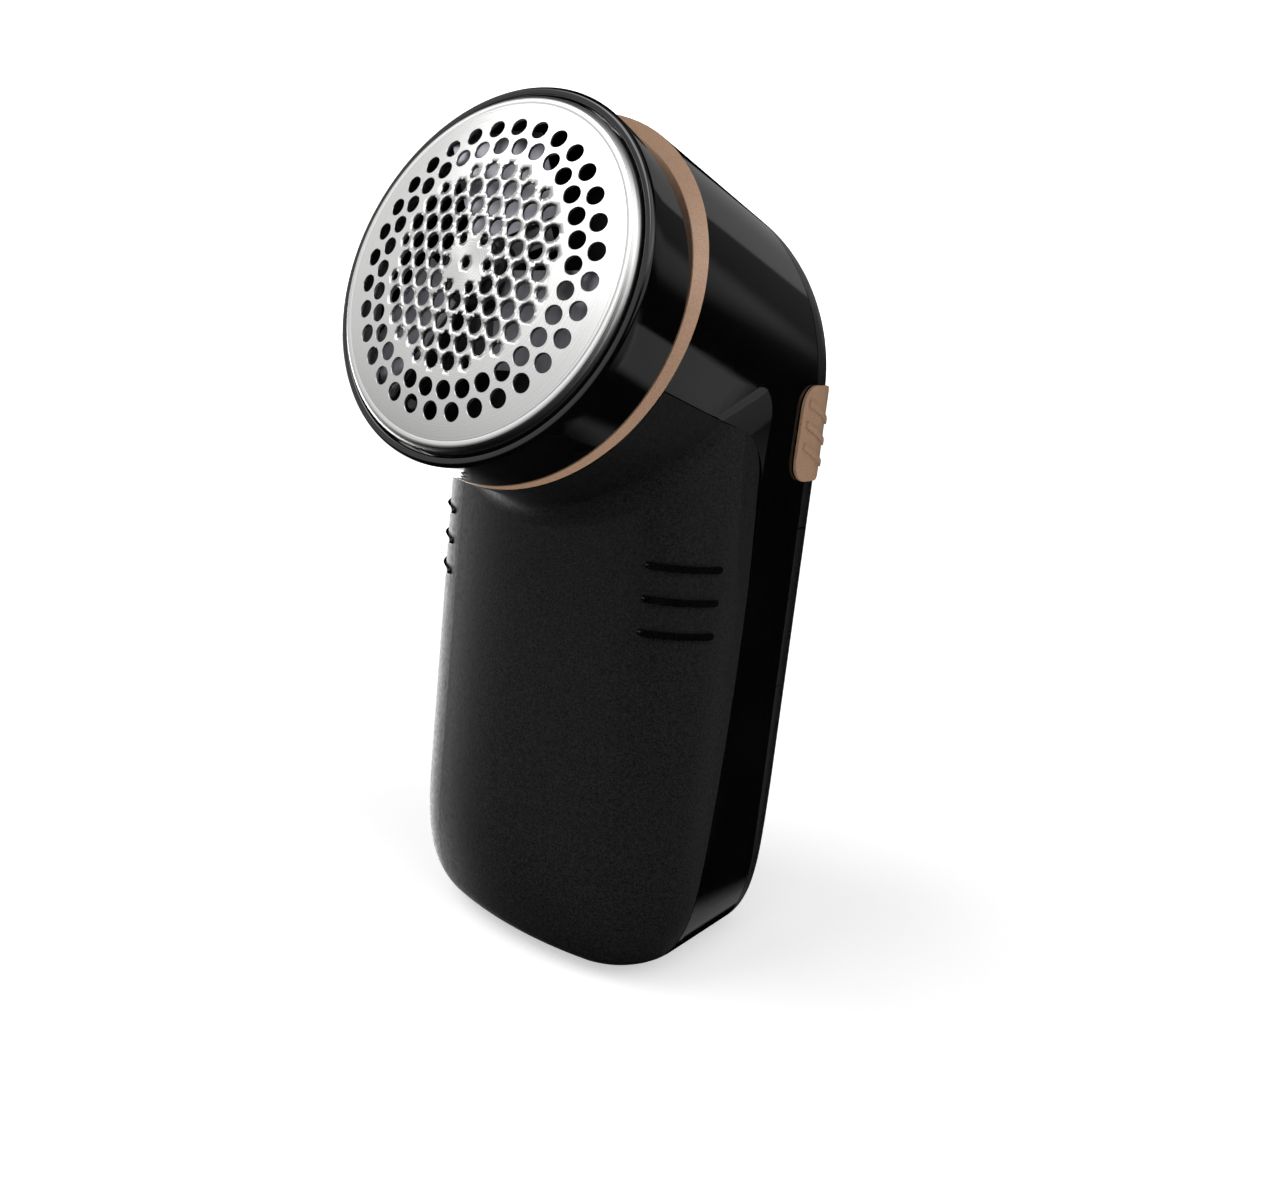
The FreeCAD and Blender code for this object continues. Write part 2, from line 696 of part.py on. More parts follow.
save("blade_carrier", to_head(blade_carrier()))
for number, angle in enumerate(BLADE_ANGLES, 1):
    save("blade_%d" % number, to_head(turned(blade(), angle)))
save("fan", to_head(fan()))
save("drive_coupling", to_head(drive_coupling()))


# ---------------------------------------------------------------- motor
def motor_can():
    can = disc(MOTOR_R, MOTOR_BACK, MOTOR_FRONT)
    can = can.fuse(disc(3.1, MOTOR_FRONT, MOTOR_FRONT + 1.6))
    can = can.cut(disc(MOTOR_R - 0.8, MOTOR_BACK - 1, MOTOR_FRONT - 0.8))
    can = can.cut(disc(2.2, MOTOR_FRONT - 2, MOTOR_FRONT + 4))
    for side in (-1, 1):
        can = can.cut(disc(1.0, MOTOR_FRONT - 2, MOTOR_FRONT + 1, MOTOR_SCREW_X * side))
    return can


def magnet(start):
    return lug_sector(7.4, MOTOR_R - 0.8, MOTOR_FRONT - 18, MOTOR_FRONT - 3, start, start + 120)


def armature():
    core = disc(7.0, MOTOR_FRONT - 17, MOTOR_FRONT - 4)
    for k in range(3):
        slot = block(3.4, 8, -0.9, 0.9, MOTOR_FRONT - 20, MOTOR_FRONT)
        core = core.cut(turned(slot, 120 * k + 60))
    return core.cut(disc(SHAFT_R, -60, 0))


def motor_end_cap():
    cap = disc(MOTOR_R - 0.8, MOTOR_BACK, MOTOR_BACK + 2.4)
    boss = disc(3.0, MOTOR_BACK - 1.6, MOTOR_BACK)
    return cap.fuse(boss).cut(disc(2.0, MOTOR_BACK - 2, MOTOR_BACK + 3))


motor_parts = {
    "motor_can": motor_can(),
    "motor_end_cap": motor_end_cap(),
    "magnet_left": magnet(120),
    "magnet_right": magnet(-60),
    "front_bearing": tube(2.2, SHAFT_R + 0.03, MOTOR_FRONT - 0.8, MOTOR_FRONT + 1.6),
    "rear_bearing": tube(2.0, SHAFT_R + 0.03, MOTOR_BACK - 1.0, MOTOR_BACK + 2.0),
    "motor_shaft": disc(SHAFT_R, MOTOR_BACK - 0.8, -9.2),
    "armature": armature(),
    "commutator": tube(2.4, SHAFT_R, MOTOR_BACK + 2.9, MOTOR_FRONT - 17.4),
}
for name, shape in motor_parts.items():
    save(name, to_head(shape))


for name, side in (("brush_left", -1), ("brush_right", 1)):
    carbon = block(2.45, 7.0, -1, 1, MOTOR_BACK + 3.2, MOTOR_BACK + 5.2)
    save(name, to_head(turned(carbon, 90 - 90 * side)))


def screw(x, y, z, axis, length, radius, head_r, head):
    """Pan head screw: its thread runs along axis from the point under the head."""
    start = Vec(x, y, z)
    body = Part.makeCylinder(radius, length, start, axis)
    cap = Part.makeCylinder(head_r, head, start, axis.negative())
    top = start - axis * head
    recess = Part.makeCylinder(head_r * 0.35, head * 0.6, top, axis)
    return body.fuse(cap).cut(recess)


motor_screws = []
case_screws = []
case_head_r = 2.4
tongue_back = part_y(SCREW_Z - case_head_r) + TONGUE
for side in (-1, 1):
    motor_screw = screw(
        side * MOTOR_SCREW_X, 0, CHAMBER_BACK, Vec(0, 0, -1), BULKHEAD + 0.8, 1.0, 1.9, 1.2
    )
    motor_screws.append(to_head(motor_screw))
    case_screws.append(screw(
        side * SCREW_X, tongue_back, SCREW_Z, Vec(0, -1, 0), 8.5, 1.1, case_head_r, 1.3
    ))
save("motor_screws", Part.makeCompound(motor_screws))
save("case_screws", Part.makeCompound(case_screws))


# ---------------------------------------------------------------- battery bay
TRAY_HALF = 16.8
TRAY_OPEN_Y = 9.0


def battery_tray():
    tray = block(-TRAY_HALF, TRAY_HALF, TRAY_BACK, TRAY_OPEN_Y, TRAY_LOW, TRAY_HIGH)
    inner_half = TRAY_HALF - TRAY_WALL
    hollow = block(
        -inner_half, inner_half, TRAY_BACK + 0.9, 20,
        TRAY_LOW + TRAY_WALL, TRAY_HIGH - TRAY_WALL
    )
    rib = block(-0.4, 0.4, TRAY_BACK, 3.0, TRAY_LOW + 5, TRAY_HIGH - 5)
    return tray.cut(hollow).fuse(rib)


def cell(x, base, upright):
    can_base = base if upright else base + CELL_NUB
    body = Part.makeCylinder(CELL_R, CELL_BODY, Vec(x, CELL_Y, can_base))
    rims = [e for e in body.Edges if e.BoundBox.ZLength < 0.01]
    body = body.makeFillet(0.6, rims)
    nub_base = base + CELL_BODY if upright else base
    return body.fuse(Part.makeCylinder(2.75, CELL_NUB, Vec(x, CELL_Y, nub_base)))


def coil():
    """Conical contact spring that stands on z = 0, wide end down."""
    wide, narrow, turns, wire_r = 4.6, 3.0, 3, 0.25
    rise = SPRING_HEIGHT - 2 * wire_r
    angle = math.degrees(math.atan2(narrow - wide, rise))
    helix = Part.makeHelix(rise / turns, rise, wide, angle)
    circle = Part.Wire(Part.makeCircle(wire_r, Vec(wide, 0, 0), Vec(0, 1, 0)))
    wire = Part.Wire(helix).makePipeShell([circle], True, True)
    wire.translate(Vec(0, 0, wire_r))
    return wire


floor_z = TRAY_LOW + TRAY_WALL
roof_z = TRAY_HIGH - TRAY_WALL
SPRING_HEIGHT = 3.9
cell_low = floor_z + CONTACT + SPRING_HEIGHT
cell_top = cell_low + CELL_BODY + CELL_NUB
save("cell_1", cell(-CELL_X, cell_low, True))
save("cell_2", cell(CELL_X, floor_z + CONTACT, False))
save("battery_tray", battery_tray())
save("bridge_contact", block(-14, 14, 1.5, 11, floor_z, floor_z + CONTACT))
low_spring = coil()
low_spring.translate(Vec(-CELL_X, CELL_Y, floor_z + CONTACT))
save("contact_spring_low", low_spring)
high_spring = coil()
high_spring.rotate(Vec(0, 0, 0), Vec(0, 1, 0), 180)
high_spring.translate(Vec(CELL_X, CELL_Y, roof_z - CONTACT))
save("contact_spring_high", high_spring)
save("positive_terminal", block(-14, -1.5, 1.5, 11, cell_top, roof_z))
save("negative_terminal", block(1.5, 14, 1.5, 11, roof_z - CONTACT, roof_z))


# ---------------------------------------------------------------- switch
def thumb_slider():
    shell = envelope(-SLIDER_RISE).cut(envelope(-SLIDER_GAP))
    tall = SLIDER_HIGH - SLIDER_LOW
    pad = block(0, 60, SLIDER_FRONT, SLIDER_REAR, SLIDER_LOW, SLIDER_HIGH)
    ends = [e for e in pad.Edges if abs(e.BoundBox.XLength - 60) < 0.01]
    pad = pad.makeFillet(3.6, ends)
    cap = shell.common(pad)
    ribs = envelope(-SLIDER_RISE - 0.3).cut(envelope(-SLIDER_GAP - 0.1)).common(pad)
    for k in (-1, 0, 1):
        z = (SLIDER_LOW + SLIDER_HIGH) / 2 + 3.4 * k
        bar = block(0, 60, SLIDER_FRONT + 1.2, SLIDER_REAR - 1.0, z - 0.45, z + 0.45)
        bar.rotate(Vec(0, (SLIDER_FRONT + SLIDER_REAR) / 2, z), Vec(1, 0, 0), -22)
        cap = cap.fuse(ribs.common(bar))
    stem = block(21.5, 28.9, STEM_FRONT, STEM_REAR, STEM_LOW, STEM_HIGH)
    return cap.fuse(stem.common(envelope(-0.5)))


def switch_case():
    case = block(12.2, 19.5, STEM_FRONT - 2.0, STEM_REAR + 0.8, 86.0, 103.0)
    return case.cut(block(16.5, 20, STEM_FRONT - 0.3, STEM_REAR + 0.3, 88.5, 101.0))


save("thumb_slider", thumb_slider())
lever = block(17.5, 21.45, STEM_FRONT + 0.2, STEM_REAR - 0.2, STEM_LOW + 0.3, STEM_HIGH - 0.3)
save("switch_lever", lever)
save("switch_case", switch_case())
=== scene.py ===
# Fabric shaver: the visual model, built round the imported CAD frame.
# Everything is in metres, in the CAD's frame: +Z up the handle, -Y the front, +X the
# side with the thumb slider.
import json
import math
import bpy
import bmesh
from mathutils import Matrix, Vector
from mathutils.geometry import delaunay_2d_cdt


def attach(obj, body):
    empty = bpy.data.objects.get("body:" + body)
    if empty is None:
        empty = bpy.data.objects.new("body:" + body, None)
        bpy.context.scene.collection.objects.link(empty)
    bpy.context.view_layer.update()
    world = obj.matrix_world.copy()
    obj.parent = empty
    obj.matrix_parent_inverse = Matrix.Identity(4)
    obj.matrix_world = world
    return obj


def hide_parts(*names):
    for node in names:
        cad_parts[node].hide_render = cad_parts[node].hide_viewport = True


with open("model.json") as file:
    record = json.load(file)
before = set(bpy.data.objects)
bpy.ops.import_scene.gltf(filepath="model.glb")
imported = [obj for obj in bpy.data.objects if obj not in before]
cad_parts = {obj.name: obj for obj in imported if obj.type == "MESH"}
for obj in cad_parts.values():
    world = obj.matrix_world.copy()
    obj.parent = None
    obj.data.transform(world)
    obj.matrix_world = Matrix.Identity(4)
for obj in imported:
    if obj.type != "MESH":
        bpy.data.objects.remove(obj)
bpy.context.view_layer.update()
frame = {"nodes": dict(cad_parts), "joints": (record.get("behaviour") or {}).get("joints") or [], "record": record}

MM = 0.001
scene = bpy.context.scene
nodes = frame["nodes"]

# ---------------------------------------------------------------- the head's axis
spin_joint = next(j for j in frame["joints"] if j["name"] == "blade_spin")
HEAD_CENTRE = Vector(spin_joint["pos_m"])
HEAD_OUT = Vector(spin_joint["axis"]).normalized()
HEAD_ACROSS = Vector((1, 0, 0))
HEAD_UP = HEAD_OUT.cross(HEAD_ACROSS)
HEAD_TURN = Matrix((HEAD_ACROSS, HEAD_UP, HEAD_OUT)).transposed().to_4x4()
HEAD = Matrix.Translation(HEAD_CENTRE) @ HEAD_TURN


# ---------------------------------------------------------------- mesh helpers
def new_object(name, verts, faces, smooth_angle=30):
    data = bpy.data.meshes.new(name)
    data.from_pydata([tuple(v) for v in verts], [], faces)
    data.validate()
    obj = bpy.data.objects.new(name, data)
    scene.collection.objects.link(obj)
    shade(obj, smooth_angle)
    return obj


def shade(obj, angle):
    """Smooth shading, with edges sharper than angle left crisp."""
    for polygon in obj.data.polygons:
        polygon.use_smooth = True
    obj.data.set_sharp_from_angle(angle=math.radians(angle))


def lathe(name, profile, segments=256, smooth_angle=35):
    """Closed profile of (radius, height) in mm turned about the head's axis."""
    verts, faces = [], []
    count = len(profile)
    for k in range(segments):
        angle = 2 * math.pi * k / segments
        for radius, height in profile:
            verts.append((radius * math.cos(angle) * MM, radius * math.sin(angle) * MM, height * MM))
    for k in range(segments):
        here = k * count
        there = (k + 1) % segments * count
        for i in range(count):
            j = (i + 1) % count
            faces.append((here + i, there + i, there + j, here + j))
    obj = new_object(name, verts, faces, smooth_angle)
    obj.matrix_world = HEAD
    return obj


def circle(x, y, radius, steps):
    points = []
    for k in range(steps):
        angle = 2 * math.pi * k / steps
        points.append((x + radius * math.cos(angle), y + radius * math.sin(angle)))
    return points


def arc_points(cx, cy, radius, start, end, steps):
    """Points of an arc from start to end, in degrees."""
    points = []
    for k in range(steps + 1):
        angle = math.radians(start + (end - start) * k / steps)
        points.append((cx + radius * math.cos(angle), cy + radius * math.sin(angle)))
    return points


# ---------------------------------------------------------------- material helpers
class Paint:
    """A Principled material with a few noise layers, built node by node."""

    def __init__(self, name):
        self.material = bpy.data.materials.new(name)
        self.material.use_nodes = True
        self.tree = self.material.node_tree
        self.shader = self.tree.nodes["Principled BSDF"]
        self.coords = self.tree.nodes.new("ShaderNodeTexCoord")

    def node(self, kind, **values):
        made = self.tree.nodes.new(kind)
        for key, value in values.items():
            setattr(made, key, value)
        return made

    def link(self, a, b):
        self.tree.links.new(a, b)

    def set(self, **values):
        for key, value in values.items():
            self.shader.inputs[key.replace("_", " ")].default_value = value
        return self

    def noise(self, scale, detail=3.0, stretch=(1, 1, 1), roughness=0.55):
        mapping = self.node("ShaderNodeMapping")
        mapping.inputs["Scale"].default_value = stretch
        self.link(self.coords.outputs["Object"], mapping.inputs["Vector"])
        noise = self.node("ShaderNodeTexNoise")
        noise.inputs["Scale"].default_value = scale
        noise.inputs["Detail"].default_value = detail
        noise.inputs["Roughness"].default_value = roughness
        self.link(mapping.outputs["Vector"], noise.inputs["Vector"])
        return noise.outputs["Fac"]

    def ranged(self, value, low, high):
        """A noise value, which lies mostly between 0.3 and 0.7, spread over low to high."""
        shaper = self.node("ShaderNodeMapRange")
        shaper.inputs["From Min"].default_value = 0.3
        shaper.inputs["From Max"].default_value = 0.7
        shaper.inputs["To Min"].default_value = low
        shaper.inputs["To Max"].default_value = high
        self.link(value, shaper.inputs["Value"])
        return shaper.outputs["Result"]

    def colour(self, value, dark, light):
        mixer = self.node("ShaderNodeMix", data_type="RGBA")
        mixer.inputs["A"].default_value = (*dark, 1)
        mixer.inputs["B"].default_value = (*light, 1)
        self.link(self.ranged(value, 0, 1), mixer.inputs["Factor"])
        self.link(mixer.outputs["Result"], self.shader.inputs["Base Color"])

    def roughness(self, value, low, high):
        self.link(self.ranged(value, low, high), self.shader.inputs["Roughness"])

    def bump(self, value, depth):
        """Bumps of this depth in metres, on top of any bumps made before."""
        bump = self.node("ShaderNodeBump")
        bump.inputs["Strength"].default_value = 1.0
        bump.inputs["Distance"].default_value = depth
        self.link(value, bump.inputs["Height"])
        previous = self.shader.inputs["Normal"]
        if previous.is_linked:
            self.link(previous.links[0].from_socket, bump.inputs["Normal"])
        self.link(bump.outputs["Normal"], previous)


def gloss_black():
    paint = Paint("gloss_black")
    paint.set(IOR=1.5)
    cloud = paint.noise(60, 3)
    paint.colour(cloud, (0.0010, 0.0010, 0.0011), (0.0022, 0.0022, 0.0023))
    scratches = paint.noise(900, 2, (1, 1, 0.06))
    paint.roughness(scratches, 0.03, 0.075)
    paint.bump(paint.noise(260, 2), 0.000002)
    return paint.material


def lip_black():
    """Front face of the collar, duller than its side."""
    paint = Paint("lip_black")
    paint.set(IOR=1.2)
    paint.colour(paint.noise(300, 3), (0.0010, 0.0010, 0.0011), (0.0022, 0.0022, 0.0023))
    paint.roughness(paint.noise(900, 2), 0.22, 0.32)
    paint.bump(paint.noise(260, 2), 0.000002)
    return paint.material


def matte_black():
    """Fine-grained plastic of the container."""
    paint = Paint("matte_black")
    paint.set(IOR=1.42)
    grain = paint.noise(2600, 2, roughness=0.6)
    paint.colour(grain, (0.0035, 0.0035, 0.0036), (0.0125, 0.0125, 0.0127))
    paint.roughness(paint.noise(1500, 3), 0.40, 0.56)
    paint.bump(grain, 0.00003)
    paint.bump(paint.noise(700, 3), 0.00002)
    return paint.material


def gloss_rib():
    """The container's ribs, smoother than its grain."""
    paint = Paint("gloss_rib")
    paint.set(IOR=1.45)
    paint.colour(paint.noise(300, 3), (0.0012, 0.0012, 0.0013), (0.003, 0.003, 0.003))
    paint.roughness(paint.noise(900, 2), 0.12, 0.2)
    paint.bump(paint.noise(260, 2), 0.000002)
    return paint.material


def satin_black():
    paint = Paint("satin_black")
    paint.set(IOR=1.48)
    grain = paint.noise(1800, 3)
    paint.colour(grain, (0.006, 0.006, 0.0065), (0.012, 0.012, 0.0125))
    paint.roughness(paint.noise(400, 3), 0.26, 0.36)
    paint.bump(grain, 0.00001)
    return paint.material


def copper():
    paint = Paint("copper_paint")
    paint.set(Metallic=0.12, IOR=1.5)
    flakes = paint.noise(5200, 1)
    paint.colour(flakes, (0.34, 0.205, 0.13), (0.46, 0.285, 0.185))
    paint.roughness(paint.noise(700, 3), 0.3, 0.42)
    paint.bump(flakes, 0.000006)
    return paint.material


def spun_steel():
    """Steel sheet with fine rings about the head's axis."""
    paint = Paint("spun_steel")
    paint.set(Metallic=1.0, Anisotropic=0.6)
    split = paint.node("ShaderNodeSeparateXYZ")
    paint.link(paint.coords.outputs["Object"], split.inputs["Vector"])
    plane = paint.node("ShaderNodeCombineXYZ")
    paint.link(split.outputs["X"], plane.inputs["X"])
    paint.link(split.outputs["Y"], plane.inputs["Y"])
    length = paint.node("ShaderNodeVectorMath", operation="LENGTH")
    paint.link(plane.outputs["Vector"], length.inputs[0])
    rings = paint.node("ShaderNodeTexNoise", noise_dimensions="1D")
    rings.inputs["Scale"].default_value = 5200
    rings.inputs["Detail"].default_value = 3
    paint.link(length.outputs["Value"], rings.inputs["W"])
    grooves = rings.outputs["Fac"]
    paint.colour(grooves, (0.66, 0.66, 0.655), (0.80, 0.80, 0.79))
    paint.roughness(grooves, 0.26, 0.40)
    paint.bump(grooves, 0.000004)
    paint.bump(paint.noise(3200, 2), 0.000004)
    tangent = paint.node("ShaderNodeTangent", direction_type="RADIAL", axis="Z")
    paint.link(tangent.outputs["Tangent"], paint.shader.inputs["Tangent"])
    return paint.material


def plain_steel(name, dark, light, rough=(0.25, 0.4)):
    paint = Paint(name)
    paint.set(Metallic=1.0)
    grain = paint.noise(1500, 3, (1, 1, 0.1))
    paint.colour(grain, dark, light)
    paint.roughness(grain, *rough)
    paint.bump(grain, 0.000005)
    return paint.material


def plain_plastic(name, dark, light, rough=(0.35, 0.5)):
    paint = Paint(name)
    paint.set(IOR=1.48)
    grain = paint.noise(1400, 3)
    paint.colour(grain, dark, light)
    paint.roughness(paint.noise(500, 3), *rough)
    paint.bump(grain, 0.00001)
    return paint.material


materials = {
    "body_gloss": gloss_black(),
    "container_matte": matte_black(),
    "rear_satin": satin_black(),
    "copper_trim": copper(),
    "mesh_metal": spun_steel(),
    "hub_plastic": plain_plastic("hub_plastic", (0.008, 0.008, 0.009), (0.018, 0.018, 0.02)),
    "blade_steel": plain_steel("blade_steel", (0.28, 0.28, 0.31), (0.38, 0.38, 0.41), (0.5, 0.6)),
    "coupling_plastic": plain_plastic("coupling_plastic", (0.5, 0.5, 0.47), (0.6, 0.6, 0.57)),
    "motor_steel": plain_steel("motor_steel", (0.4, 0.4, 0.41), (0.55, 0.55, 0.56)),
    "cap_plastic": plain_plastic("cap_plastic", (0.6, 0.6, 0.58), (0.7, 0.7, 0.68)),
    "magnet_ferrite": plain_plastic("magnet_ferrite", (0.02, 0.02, 0.022), (0.04, 0.04, 0.042), (0.5, 0.7)),
    "bearing_brass": plain_steel("bearing_brass", (0.5, 0.33, 0.14), (0.65, 0.46, 0.22)),
    "shaft_steel": plain_steel("shaft_steel", (0.5, 0.5, 0.5), (0.65, 0.65, 0.65), (0.15, 0.25)),
    "armature_iron": plain_steel("armature_iron", (0.12, 0.12, 0.12), (0.22, 0.22, 0.22), (0.4, 0.6)),
    "commutator_brass": plain_steel("commutator_brass", (0.5, 0.28, 0.16), (0.65, 0.4, 0.25)),
    "brush_carbon": plain_plastic("brush_carbon", (0.01, 0.01, 0.01), (0.03, 0.03, 0.03), (0.5, 0.7)),
    "screw_steel": plain_steel("screw_steel", (0.45, 0.45, 0.46), (0.6, 0.6, 0.6)),
    "cell_jacket": plain_plastic("cell_jacket", (0.02, 0.06, 0.17), (0.03, 0.08, 0.22), (0.2, 0.3)),
    "tray_plastic": plain_plastic("tray_plastic", (0.02, 0.02, 0.02), (0.035, 0.035, 0.035)),
    "contact_nickel": plain_steel("contact_nickel", (0.5, 0.48, 0.42), (0.66, 0.64, 0.57)),
    "lever_plastic": plain_plastic("lever_plastic", (0.45, 0.45, 0.43), (0.55, 0.55, 0.53)),
    "switch_plastic": plain_plastic("switch_plastic", (0.015, 0.015, 0.015), (0.03, 0.03, 0.03)),
}
materials["collar_gloss"] = materials["body_gloss"]
materials["copper_paint"] = materials["copper_trim"]
slot_of = {part["node"]: part["material_slot"] for part in frame["record"]["subparts"]}


def dress(obj, slot):
    obj.data.materials.clear()
    obj.data.materials.append(materials[slot])


for name, obj in nodes.items():
    for i in range(len(obj.material_slots)):
        obj.material_slots[i].material = materials[slot_of[name]]


# the container's grip ribs, as part.py places them
RIB_HEIGHTS = (0.0722, 0.0671, 0.0619)
RIB_HALF = 0.0007
RIB_FRONT = -0.0215
RIB_REAR = -0.0124
RIB_INNER = 0.0199


def mark_ribs():
    """The ribs are smooth and darker than the container's grain."""
    data = nodes["lint_container"].data
    data.materials.append(gloss_rib())
    for polygon in data.polygons:
        middle = polygon.center
        beside = RIB_FRONT < middle.y < RIB_REAR and abs(middle.x) > RIB_INNER
        level = min(abs(middle.z - height) for height in RIB_HEIGHTS)
        if beside and level < RIB_HALF:
            polygon.material_index = len(data.materials) - 1


mark_ribs()


# ---------------------------------------------------------------- shaving mesh
# in millimetres, in the head's frame
RING_R = 20.0               # outer ring of holes
RING_HOLES = 32
INNER_RING = 0.855          # inner ring, as a share of the outer one
DOME = 1.808                # height of the dome above the outer ring
BALL_R = RING_R ** 2 / (2 * DOME)
SHEET = 0.4
BEVEL = 0.06                # round the mouth of each hole
HEX_PITCH = 3.09
HOLE_RING = 1.27            # hole radii
HOLE_MEDIUM = 1.12
HOLE_SMALL = 0.70
CENTRE_REACH = 1.234        # six small holes round the centre, in pitches
CORNER_PULL = 0.982         # the field's corner holes sit a little further in
MEDIUM_ROWS = {
    0: (2, 3, 4),
    1: (1.5, 2.5, 3.5),
    2: (0, 1, 2, 3, 4),
    3: (0.5, 1.5, 2.5, 3.5),
    4: (0, 1, 2),
    5: (0.5,),
}
SMALL_ROWS = {1: 4.5, 4: 3, 5: 1.5}

EDGE_R = 23.75              # where the dome ends
GROOVE = 0.14               # the step between the dome and its rolled edge
WALL_R = 25.3
WALL_BORE = 24.9
ROLL_R = WALL_R - EDGE_R - 0.3
FLANGE_R = 26.0
FLANGE_FRONT = -5.85
FLANGE_BACK = -6.25

HOLE_STEPS = 28
EDGE_STEPS = 192
CHORD = 0.02                # the sheet's triangles reach into a hole's circle by less
GRID = 0.8                  # between points on the sheet
GRID_ROW = 0.866 * GRID
HOLE_CLEAR = 0.25           # between those points and a hole, and
EDGE_CLEAR = 0.4            # between them and the dome's edge
MERGE = 1e-5
CREASE = 28                 # degrees; sharper edges of the mesh stay crisp


def dome_height(radius):
    return DOME - BALL_R + math.sqrt(BALL_R ** 2 - radius ** 2)


def both_sides(distance):
    return (-distance, distance) if distance else (0,)


def hole_pattern():
    """(x, y, radius) of every hole: two rings round a six-fold field."""
    holes = [(0.0, 0.0, HOLE_SMALL)]
    for k in range(RING_HOLES):
        for share, shift in ((1.0, 0), (INNER_RING, 0.5)):
            angle = 2 * math.pi * (k + shift) / RING_HOLES
            reach = RING_R * share
            holes.append((reach * math.sin(angle), reach * math.cos(angle), HOLE_RING))
    for x, y in circle(0, 0, CENTRE_REACH * HEX_PITCH, 6):
        holes.append((x, y, HOLE_SMALL))
    for row, columns in MEDIUM_ROWS.items():
        for y in both_sides(row * HEX_PITCH * math.sqrt(0.75)):
            for column in columns:
                for x in both_sides(column * HEX_PITCH):
                    holes.append((x, y, HOLE_MEDIUM))
            if row in SMALL_ROWS:
                for x in both_sides(SMALL_ROWS[row] * HEX_PITCH):
                    holes.append((CORNER_PULL * x, CORNER_PULL * y, HOLE_SMALL))
    return holes


def clear_of_holes(point, holes, margin):
    return all((point - Vector((x, y))).length > radius + margin for x, y, radius in holes)


def sheet_outline(holes):
    """Points of each hole's mouth and of the dome's edge, and each one's loop of indexes."""
    rings = [circle(x, y, radius + BEVEL, HOLE_STEPS) for x, y, radius in holes]
    rings.append(circle(0, 0, EDGE_R, EDGE_STEPS))
    points, loops = [], []
    for ring in rings:
        loops.append(list(range(len(points), len(points) + len(ring))))
        points += [Vector(point) for point in ring]
    return points, loops


def sheet_grid(holes):
    """A triangular grid of points, clear of the holes and the edge."""
    points = []
    reach = int(EDGE_R / GRID) + 1
    for i in range(-reach, reach + 1):
        for j in range(-reach, reach + 1):
            point = Vector(((i + 0.5 * (j % 2)) * GRID, j * GRID_ROW))
            inside = point.length <= EDGE_R - EDGE_CLEAR
            if inside and clear_of_holes(point, holes, BEVEL + HOLE_CLEAR):
                points.append(point)
    return points


def sheet_triangles(flat, triangles, holes):
    """The triangles that are on the sheet, and not in a hole or past its edge."""
    kept = []
    for triangle in triangles:
        centre = sum((flat[i] for i in triangle), Vector((0, 0))) / 3
        if centre.length <= EDGE_R and clear_of_holes(centre, holes, BEVEL - CHORD):
            kept.append(tuple(triangle))
    return kept


def add_wall(verts, faces, previous, ring):
    """Join the previous loop of indexes to a new ring of (x, y, z) points, and return its loop."""
    steps = len(ring)
    loop = list(range(len(verts), len(verts) + steps))
    verts += [Vector(point) for point in ring]
    for k in range(steps):
        j = (k + 1) % steps
        faces.append((previous[k], previous[j], loop[j], loop[k]))
    return loop


def edge_profile():
    """(radius, height) from the dome's edge: groove, rolled edge, side wall, flange, inside."""
    shoulder = dome_height(EDGE_R)
    profile = [(EDGE_R + 0.02, shoulder - GROOVE), (EDGE_R + GROOVE, shoulder - GROOVE)]
    profile += arc_points(WALL_R - ROLL_R, shoulder - ROLL_R, ROLL_R, 115, 0, 14)
    profile += [
        (WALL_R, FLANGE_FRONT), (FLANGE_R, FLANGE_FRONT), (FLANGE_R, FLANGE_BACK),
        (WALL_BORE, FLANGE_BACK), (WALL_BORE, shoulder - 1.2), (EDGE_R - 0.2, shoulder - 0.5),
    ]
    return profile


def face_outwards(obj):
    bm = bmesh.new()
    bm.from_mesh(obj.data)
    bmesh.ops.recalc_face_normals(bm, faces=bm.faces)
    bm.to_mesh(obj.data)
    bm.free()


def smooth_dome(obj, count):
    """Give the first count faces, which are the dome, the exact normals of its ball."""
    data = obj.data
    normals = [tuple(corner.vector) for corner in data.corner_normals]
    ball_centre = Vector((0, 0, (DOME - BALL_R) * MM))
    for polygon in data.polygons[:count]:
        for i in polygon.loop_indices:
            place = data.vertices[data.loops[i].vertex_index].co
            normals[i] = tuple((place - ball_centre).normalized())
    data.normals_split_custom_set(normals)


def shaving_mesh():
    """Domed sheet with bevelled holes, its rolled edge, side wall and flange."""
    holes = hole_pattern()
    points, loops = sheet_outline(holes)
    points += sheet_grid(holes)
    edges = []
    for loop in loops:
        edges += zip(loop, loop[1:] + loop[:1])
    flat, _, triangles, _, _, _ = delaunay_2d_cdt(points, edges, [], 0, MERGE)
    verts = [Vector((p.x, p.y, dome_height(p.length))) for p in flat]
    faces = sheet_triangles(flat, triangles, holes)
    dome_faces = len(faces)
    for (x, y, radius), loop in zip(holes, loops):
        mouth = circle(x, y, radius, HOLE_STEPS)
        for sink in (BEVEL, SHEET):
            ring = [(px, py, dome_height(math.hypot(px, py)) - sink) for px, py in mouth]
            loop = add_wall(verts, faces, loop, ring)
    loop = loops[-1]
    for radius, height in edge_profile():
        ring = [(px, py, height) for px, py in circle(0, 0, radius, EDGE_STEPS)]
        loop = add_wall(verts, faces, loop, ring)
    obj = new_object("mesh_guard_sheet", [v * MM for v in verts], faces, CREASE)
    obj.matrix_world = HEAD
    face_outwards(obj)
    shade(obj, CREASE)
    smooth_dome(obj, dome_faces)
    dress(obj, "mesh_metal")
    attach(obj, "mesh_guard")
    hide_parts("shaving_mesh")


shaving_mesh()


